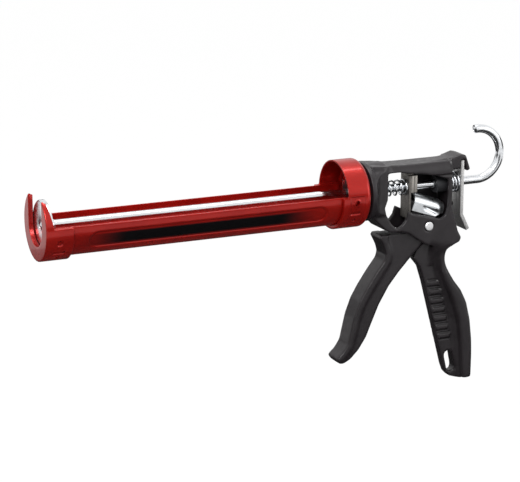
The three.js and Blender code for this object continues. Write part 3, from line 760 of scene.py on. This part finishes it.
def cap_horns(inner):
    """The part of a full ring that stands in front of a swept-back outline."""
    horns = lathe(
        "ring",
        [(FRONT_FACE, inner), (FRONT_FACE, CAP_RADIUS), (CAP_REAR, CAP_RADIUS), (CAP_REAR, inner)],
        200,
    )
    outline = [
        (FRONT_FACE, 0),
        (FRONT_FACE + 7, 0),
        (FRONT_FACE + 7, 4.5),
        (FRONT_FACE + 5.6, 12),
        (FRONT_FACE + 4, 21),
        (FRONT_FACE + CAP_WALL, CAP_TOP),
        (FRONT_FACE, CAP_TOP),
    ]
    return intersect(horns, prism("horn_side", outline, -ACROSS, ACROSS))


def cap_lip():
    """The folded lip round the nozzle slot, before the slot is cut."""
    outer = CAP_SLOT_HALF + CAP_WALL
    top = CAP_TOP - 1.2
    shape = [(-outer, top), *lower_half(outer), (outer, top)]
    rear = FRONT_FACE + CAP_LIP_DEPTH
    front = FRONT_FACE - 1
    clip = lathe(
        "clip",
        [(front, 0.01), (front, CAP_RADIUS), (rear + 1, CAP_RADIUS), (rear + 1, 0.01)],
        200,
    )
    return intersect(yz_prism("lip", shape, FRONT_FACE, rear), clip)


def cap_cutters():
    """The nozzle slot, and everything above the horns."""
    slot = [(-CAP_SLOT_HALF, ACROSS), *lower_half(CAP_SLOT_HALF), (CAP_SLOT_HALF, ACROSS)]
    front = FRONT_FACE - 5
    above = [(front, CAP_TOP), (ACROSS, CAP_TOP), (ACROSS, 80), (front, 80)]
    opening = yz_prism("opening", slot, front, FRONT_FACE + CAP_LIP_DEPTH + 5)
    return opening, prism("above", above, -ACROSS, ACROSS)


def front_cap():
    """Nose plate with an open slot, two horns, a folded lip and a skirt round the cradle."""
    inner = CRADLE_RADIUS + GAP
    plate_rear = FRONT_FACE + CAP_WALL
    plate = lathe(
        "front_cap_sheet",
        [(FRONT_FACE, 2), (FRONT_FACE, CAP_RADIUS), (plate_rear, CAP_RADIUS), (plate_rear, 2)],
        200,
    )
    skirt = half_ring("skirt", inner, CAP_RADIUS, FRONT_FACE, CAP_REAR, CRADLE_RIM)
    obj = remesh(merged([plate, skirt, cap_horns(inner), cap_lip()]), FINE_VOXEL)
    cut(obj, *cap_cutters())
    remesh(obj, FINE_VOXEL)
    relax(obj, 4)
    points = get_points(obj)
    snap_round(points, CAP_RADIUS, 0.25, FRONT_FACE + 0.8, CAP_REAR - 0.6)
    snap_round(points, inner, 0.25, FRONT_FACE + 2.2, CAP_REAR - 0.6)
    stamp(points, FRONT_FACE + 12, -9.6, 0, 2.4, 1.0, 0.6)
    stamp(points, FRONT_FACE + 12, -18.6, 4.2, 1.4, 1.0, 0.5)
    stamp(points, FRONT_FACE + 12.4, -23.4, 0, 1.7, 1.0, 0.5)
    set_points(obj, points)
    finish_piece(obj, "holder", red, ["front_cap"], 50)


# ---------------------------------------------------------------- rod and plunger


def push_rod():
    """Straight bar that ends in a hook."""
    path = [(ROD_FRONT, 0, 0)]
    path += [(x, 0, 0) for x in np.linspace(ROD_FRONT + 2, HOOK_START - 2, 40)]
    for angle in np.linspace(0, math.radians(HOOK_SWEEP), 90):
        turned = angle - math.pi / 2
        x = HOOK_START + HOOK_REACH * math.cos(turned)
        path.append((x, 0, HOOK_RADIUS + HOOK_RADIUS * math.sin(turned)))
    obj = tube("push_rod_bar", path, ROD_RADIUS, 40, cap_round=1.1)
    finish_piece(obj, "rod", rod_steel, ["push_rod"], 40)


def plunger():
    """Cupped disc and the nut behind it."""
    low, high = span("plunger_disc")[:2]
    radius = span("plunger_disc")[3]
    bore = ROD_BORE
    profile = rounded(
        [
            (low, bore),
            (low, radius - 1.2),
            (low + 1.2, radius),
            (high, radius),
            (high, radius - 1.5),
            (low + 2.4, radius - 2.2),
            (low + 1.9, radius - 7),
            (low + 1.5, radius - 8),
            (low + 1.5, 8.4),
            (high - 0.4, 6.8),
            (high, 6.2),
            (high, bore),
        ],
        0.4,
    )
    obj = lathe("plunger_disc_cup", profile, 120)
    finish_piece(obj, "plunger", zinc, ["plunger_disc"])
    low, high = span("plunger_nut")[:2]
    radius = span("plunger_nut")[3]
    corners = [(low, bore), (low, radius), (high - 1.6, radius), (high, radius - 0.9), (high, bore)]
    profile = rounded(corners, 0.4)
    nut = lathe("plunger_nut_turned", profile, 80)
    finish_piece(nut, "plunger", zinc, ["plunger_nut"])


# ---------------------------------------------------------------- castings


def beam_round(points):
    """Rounds the top beam's shoulders and sinks a line along its foot."""
    x, y, z = points.T
    along = ramp(x, 20, 30) * (1 - ramp(x, 86, 90))
    height = np.clip((z - 11) / 12.5, 0, 1)
    squeeze = 1 - 0.32 * along * height**2.2
    points[:, 1] = y * squeeze
    line = band(z, 9.4, 11.2, 0.7) * along * (np.abs(y) > 13)
    points[:, 1] -= np.sign(y) * 0.7 * line


def grip_ribs(points):
    """Raised ribs across the grip's web, with a groove between each pair."""
    x, y, z = points.T
    web = (np.abs(y) < 6.2) & (z < -84) & (z > -150)
    for index in range(RIB_COUNT):
        drop = RIB_SPACING * index
        off_x = np.abs(x - TOP_RIB[0] - drop * math.tan(GRIP_TILT))
        off_z = np.abs(z - TOP_RIB[1] + drop)
        along = 1 - ramp(off_x, 5.4, 6.6)
        rib = 1 - ramp(off_z, 1.5, 2.4)
        groove = band(off_z, 2.5, 3.9, 0.5)
        points[:, 1] += np.sign(y) * web * along * (0.6 * rib - 0.45 * groove)


def lever_notch():
    """Clears the hood round the top of the release lever."""
    front, _, _, half, _, top = span("release_lever")
    rear = front + LEVER_THICKNESS
    low, room = 5, GAP / 2
    outline = [
        (front - room, low),
        (rear + room, low),
        (rear + room, top + room),
        (front - room, top + room),
    ]
    return prism("notch", outline, -half - 2, half + 2)


def body_casting():
    """The cast frame: soft edges, rounded beam, ribbed grip and a clear lever notch."""
    obj = remesh(cad_copy("body_casting", "body_casting_coated"), 0.62)
    x, y, z = get_points(obj).T
    grip = ramp(-z, 52, 62)
    web = grip * (np.abs(y) < 5.6)
    swivel = 1 - ramp(x, 6, 9)
    weight = np.clip(0.45 + 0.55 * grip - 0.55 * web, 0, 1) * (1 - 0.6 * swivel)
    relax(obj, 26, weight)
    x, y, z = get_points(obj).T
    relax(obj, 120, band(x, 67, 88, 2) * band(-z, 48, 78, 3) * (np.abs(y) > 5))
    points = get_points(obj)
    beam_round(points)
    grip_ribs(points)
    snap_round(points, FLANGE_RADIUS, 0.3, 3.4, 7.2)
    set_points(obj, points)
    cut(obj, lever_notch())
    finish_piece(obj, "frame", black, ["body_casting"], 60)


def trigger():
    """The cast trigger, softer below its hub."""
    obj = remesh(cad_copy("trigger", "trigger_coated"), 0.6)
    lower = ramp(-get_points(obj)[:, 2], 40, 50)
    relax(obj, 34, 0.3 + 0.7 * lower)
    finish_piece(obj, "trigger", black, ["trigger"], 60)


# ---------------------------------------------------------------- drive


def spring(name, node, radius, wire, turns, joint, keep):
    """A coil with closed ends between the CAD node's ends; joint and keep are not used."""
    low, high = span(node)[:2]
    flat = 0.9
    total = turns + 2 * flat
    steps = int(total * 40)
    path = []
    for step in range(steps + 1):
        turn = total * step / steps
        climb = min(max((turn - flat) / turns, 0), 1)
        start = low + wire + min(turn / flat, 1) * 0.35 * wire
        end = high - wire - min((total - turn) / flat, 1) * 0.35 * wire
        x = start + (end - start) * climb
        angle = 2 * math.pi * turn
        path.append((x, radius * math.cos(angle), radius * math.sin(angle)))
    obj = tube(name, path, wire, 14, cap_round=0.2)
    shade(obj)
    obj.data.materials.append(zinc)
    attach(obj, "frame")
    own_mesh(obj)
    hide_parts(node)


def bevelled(node, name, body, material, width):
    """The CAD shape with its edges broken."""
    obj = cad_copy(node, name)
    bevel(obj, width, 3)
    finish_piece(obj, body, material, [node])


def turned_piece(node, name, body, material, bore, edge=0.3):
    """A ring turned to the CAD node's size, with rounded edges."""
    low, high = span(node)[:2]
    radius = span(node)[3]
    profile = rounded([(low, bore), (low, radius), (high, radius), (high, bore)], edge)
    obj = lathe(name, profile, 96)
    finish_piece(obj, body, material, [node])


def pusher_section(outline, x, inset):
    """YZ points of the folded sheet at one place along the pusher: walls and a half-round roof."""
    tail = ramp(x, PUSHER_LENGTH - 9, PUSHER_LENGTH)
    half = PUSHER_HALF - inset - 1.6 * tail**2
    floor = -PUSHER_HEIGHT + 4.6 * tail
    scoop = 1.7 * ramp(x, 9, 15) * (1 - ramp(x, 24, 31))
    valley = -9.6 - 0.18 * (x - 12)
    result = []
    for side, t in outline:
        if side == 0:
            y = -math.cos(t) * half
            z = (math.sin(t) - 1) * half - inset - 1.8 * tail**2
        else:
            top = -half - inset - 1.8 * tail**2
            z = floor + (top - floor) * t
            y = side * (half - scoop * math.exp(-(((z - valley) / 2.0) ** 2)))
        result.append((y, z))
    return result


def pusher():
    """Folded saddle with a half-round roof, open below, and a scoop in each side."""
    lengths = np.concatenate([np.linspace(0, 2, 5), np.linspace(2.6, PUSHER_LENGTH, 50)])
    # side -1 and 1 climb the walls, side 0 goes over the roof
    outline = [(-1, t) for t in np.linspace(0, 1, 14)[:-1]]
    outline += [(0, t) for t in np.linspace(0, math.pi, 33)]
    outline += [(1, t) for t in np.linspace(1, 0, 14)[1:]]
    sin, cos = math.sin(PUSHER_TILT), math.cos(PUSHER_TILT)
    start_x = span("grip_plate_front")[1] - TAB_LENGTH + 2 * GAP + PUSHER_HEIGHT * sin
    points = [
        (start_x + x * cos + z * sin, y, PUSHER_Z + z * cos - x * sin)
        for inset in (0, PUSHER_WALL)
        for x in lengths
        for y, z in pusher_section(outline, x, inset)
    ]
    obj = mesh_object("pusher_folded", points, sheet_faces(len(lengths), len(outline)))
    tidy_normals(obj)
    bevel(obj, 0.4, 3, 60)
    finish_piece(obj, "trigger", bright, ["pusher"], 50)


def cross_pin(node, name, body, material, inset=0):
    """A pin across the gun with chamfered, slightly domed ends."""
    x0, x1, y0, y1, z0, z1 = span(node)
    radius = (z1 - z0) / 2
    x, z = (x0 + x1) / 2, (z0 + z1) / 2
    half = (y1 - y0) / 2 - inset
    profile = [
        (0.01, half),
        (radius * 0.55, half - 0.06),
        (radius - 0.7, half - 0.15),
        (radius, half - 0.7),
    ]
    profile += [(r, -y) for r, y in reversed(profile)]
    points = []
    sides = 64
    for r, y in profile:
        for step in range(sides):
            angle = 2 * math.pi * step / sides
            points.append((x + r * math.cos(angle), y, z + r * math.sin(angle)))
    faces = grid_faces(len(profile), sides, False, True)
    faces.append(tuple(range(sides)))
    faces.append(tuple(range((len(profile) - 1) * sides, len(profile) * sides)))
    obj = mesh_object(name, points, faces)
    tidy_normals(obj)
    finish_piece(obj, body, material, [node], 30)


cradle()
rear_collar()
front_cap()
push_rod()
plunger()
body_casting()
trigger()
spring("main_spring_coil", "main_spring", *MAIN_SPRING, "plates_slide", 0.61)
spring("brake_spring_coil", "brake_spring", *BRAKE_SPRING, "lever_release", 0.8)
bevelled("grip_plate_front", "grip_plate_front_pressed", "grip_plates", grey_steel, 0.3)
for place in ("middle", "rear"):
    plate = f"grip_plate_{place}"
    bevelled(plate, f"{plate}_ground", "grip_plates", block_steel, 0.35)
bevelled("release_lever", "release_lever_pressed", "release_lever", lever_steel, 0.5)
pusher()
turned_piece("bulkhead_plate", "bulkhead_disc", "frame", zinc, SPIGOT_CLEAR)
turned_piece("swivel_washer", "swivel_spacer", "frame", black_nylon, SPIGOT_CLEAR)
turned_piece("spring_seat_washer", "spring_seat", "frame", zinc, ROD_BORE)
turned_piece("rod_guide_bush", "rod_guide", "frame", black_nylon, ROD_BORE, 0.6)
bevelled("retaining_ring", "retaining_ring_snap", "frame", grey_steel, 0.2)
cross_pin("trigger_pivot_pin", "trigger_pivot", "frame", pin_plate)
cross_pin("pusher_pin", "pusher_cross_pin", "trigger", grey_steel, 1.9)

# ---------------------------------------------------------------- camera, light and stage

RIGHT = Vector((0.9110, -0.4125, 0))
UP = Vector((0.1056, 0.2331, 0.9667))
TOWARDS = Vector((-0.3987, -0.8807, 0.2559))
EYE = (-84.81, -43.10, 1767.89)  # mm from ORIGIN along RIGHT, UP and TOWARDS
LENS = 139.64


def camera():
    """The view from the front left, a little above."""
    eye = RIGHT * EYE[0] + UP * EYE[1] + TOWARDS * EYE[2]
    data = bpy.data.cameras.new("camera")
    data.lens = LENS
    data.sensor_width = 36
    obj = bpy.data.objects.new("camera", data)
    bpy.context.scene.collection.objects.link(obj)
    turn = Matrix((RIGHT, UP, TOWARDS)).transposed().to_4x4()
    obj.matrix_world = Matrix.Translation(ORIGIN + eye * MM) @ turn
    bpy.context.scene.camera = obj


def area_light(name, place, aim, size, power):
    data = bpy.data.lights.new(name, "AREA")
    data.shape = "RECTANGLE"
    data.size, data.size_y = size
    data.energy = power
    obj = bpy.data.objects.new(name, data)
    bpy.context.scene.collection.objects.link(obj)
    obj.location = place
    obj.rotation_euler = (Vector(aim) - Vector(place)).to_track_quat("-Z", "Y").to_euler()


def plane(name, middle, along, across):
    """A flat rectangle given by its middle and two half edges, in metres."""
    middle, along, across = Vector(middle), Vector(along), Vector(across)
    signs = ((-1, -1), (1, -1), (1, 1), (-1, 1))
    corners = [middle + along * a + across * b for a, b in signs]
    data = bpy.data.meshes.new(name)
    data.from_pydata([tuple(corner) for corner in corners], [], [(0, 1, 2, 3)])
    obj = bpy.data.objects.new(name, data)
    bpy.context.scene.collection.objects.link(obj)
    return obj


def seen_directly(tree):
    """1 for rays from the camera, from a mirror-like surface or through glass, else 0."""
    path = tree.nodes.new("ShaderNodeLightPath")
    total = path.outputs["Is Camera Ray"]
    for name in ("Is Glossy Ray", "Is Transmission Ray"):
        node = tree.nodes.new("ShaderNodeMath")
        node.operation = "MAXIMUM"
        tree.links.new(total, node.inputs[0])
        tree.links.new(path.outputs[name], node.inputs[1])
        total = node.outputs["Value"]
    return total


def card_paint():
    """Flat dark paint."""
    paint = bpy.data.materials.new("card_paint")
    paint.use_nodes = True
    shader = paint.node_tree.nodes["Principled BSDF"]
    shader.inputs["Base Color"].default_value = (0.02, 0.02, 0.02, 1)
    shader.inputs["Roughness"].default_value = 1
    return paint


def dark_cards():
    """Dark cards round and under the set, seen only in reflections, like a studio's dark walls."""
    dark = card_paint()
    cards = [plane("card_under", (0, 0.32, cad_box[0][2] - 0.28), (1.6, 0, 0), (0, 1.27, 0))]
    for index in range(4):
        turn = Matrix.Rotation(index * math.pi / 2, 3, "Z")
        place, half = turn @ Vector((0, -1.9, 0.05)), turn @ Vector((1.3, 0, 0))
        cards.append(plane(f"card_{index}", place, half, (0, 0, 0.22)))
    for card in cards:
        card.data.materials.append(dark)
        card.visible_camera = False
        card.visible_diffuse = False
        card.visible_shadow = False
        card.visible_transmission = False


def floor_paint():
    """White paint that keeps shadows, with a glow seen only by direct and mirror rays."""
    paint = bpy.data.materials.new("floor_paint")
    paint.use_nodes = True
    nodes, links = paint.node_tree.nodes, paint.node_tree.links
    shader = nodes["Principled BSDF"]
    shader.inputs["Base Color"].default_value = (0.9, 0.9, 0.9, 1)
    shader.inputs["Roughness"].default_value = 0.9
    glow = nodes.new("ShaderNodeEmission")
    mix = nodes.new("ShaderNodeMixShader")
    share = nodes.new("ShaderNodeMapRange")
    share.inputs["To Max"].default_value = 0.9
    glow.inputs["Strength"].default_value = 1.06
    links.new(seen_directly(paint.node_tree), share.inputs["Value"])
    links.new(share.outputs["Result"], mix.inputs["Fac"])
    links.new(shader.outputs["BSDF"], mix.inputs[1])
    links.new(glow.outputs["Emission"], mix.inputs[2])
    links.new(mix.outputs["Shader"], nodes["Material Output"].inputs["Surface"])
    return paint


def studio_world():
    """White to the camera and to mirrors, dimmer as a light."""
    world = bpy.data.worlds.new("studio")
    bpy.context.scene.world = world
    world.use_nodes = True
    tree = world.node_tree
    background = tree.nodes["Background"]
    background.inputs["Color"].default_value = (1, 1, 1, 1)
    strength = tree.nodes.new("ShaderNodeMapRange")
    strength.inputs["To Min"].default_value = 0.42
    strength.inputs["To Max"].default_value = 1.0
    tree.links.new(seen_directly(tree), strength.inputs["Value"])
    tree.links.new(strength.outputs["Result"], background.inputs["Strength"])


def stage():
    """World, floor and cards."""
    studio_world()
    floor = plane("floor", (0, 0, cad_box[0][2] - 0.3), (6, 0, 0), (0, 6, 0))
    floor.data.materials.append(floor_paint())
    dark_cards()


camera()
stage()
area_light("key", (-0.7, -1.1, 1.2), (0, 0, 0), (0.7, 0.7), 19)
area_light("top", (0.1, 0.2, 1.4), (0, 0, 0), (1.2, 0.6), 12)
area_light("fill", (1.2, -0.9, 0.4), (0.1, 0, 0), (0.8, 0.8), 4)

settings = bpy.context.scene.view_settings
settings.view_transform = "Standard"
